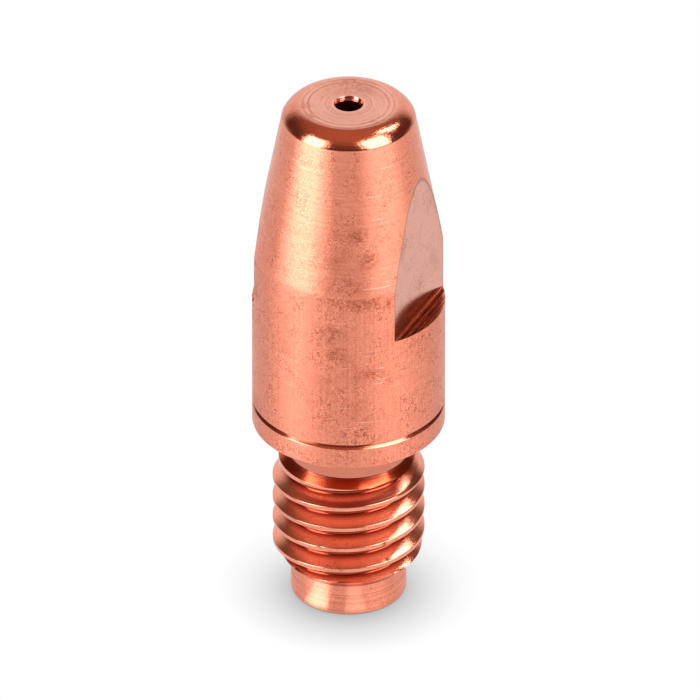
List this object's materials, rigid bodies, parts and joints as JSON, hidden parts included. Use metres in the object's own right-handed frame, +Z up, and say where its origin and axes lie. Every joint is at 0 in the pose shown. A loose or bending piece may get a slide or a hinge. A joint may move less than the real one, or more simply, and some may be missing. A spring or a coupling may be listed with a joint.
{
  "type": "welding contact tip",
  "caption": "Turned copper tip that threads into a welding torch and leads the wire through its bore, with a tapered nose, spanner flats, a seat, a relief neck and a threaded shank.",
  "frame": {"origin": "centre of the pilot's end face, on which the tip stands", "axes": "+Z up the axis towards the nose, +X square to the first spanner flat"},
  "size_m": [0.01, 0.01, 0.0294],
  "materials": {
    "copper": "satin bare copper with bright turned edges"
  },
  "bodies": {
    "root": {"contact_tip": "copper"}
  },
  "joints": []
}
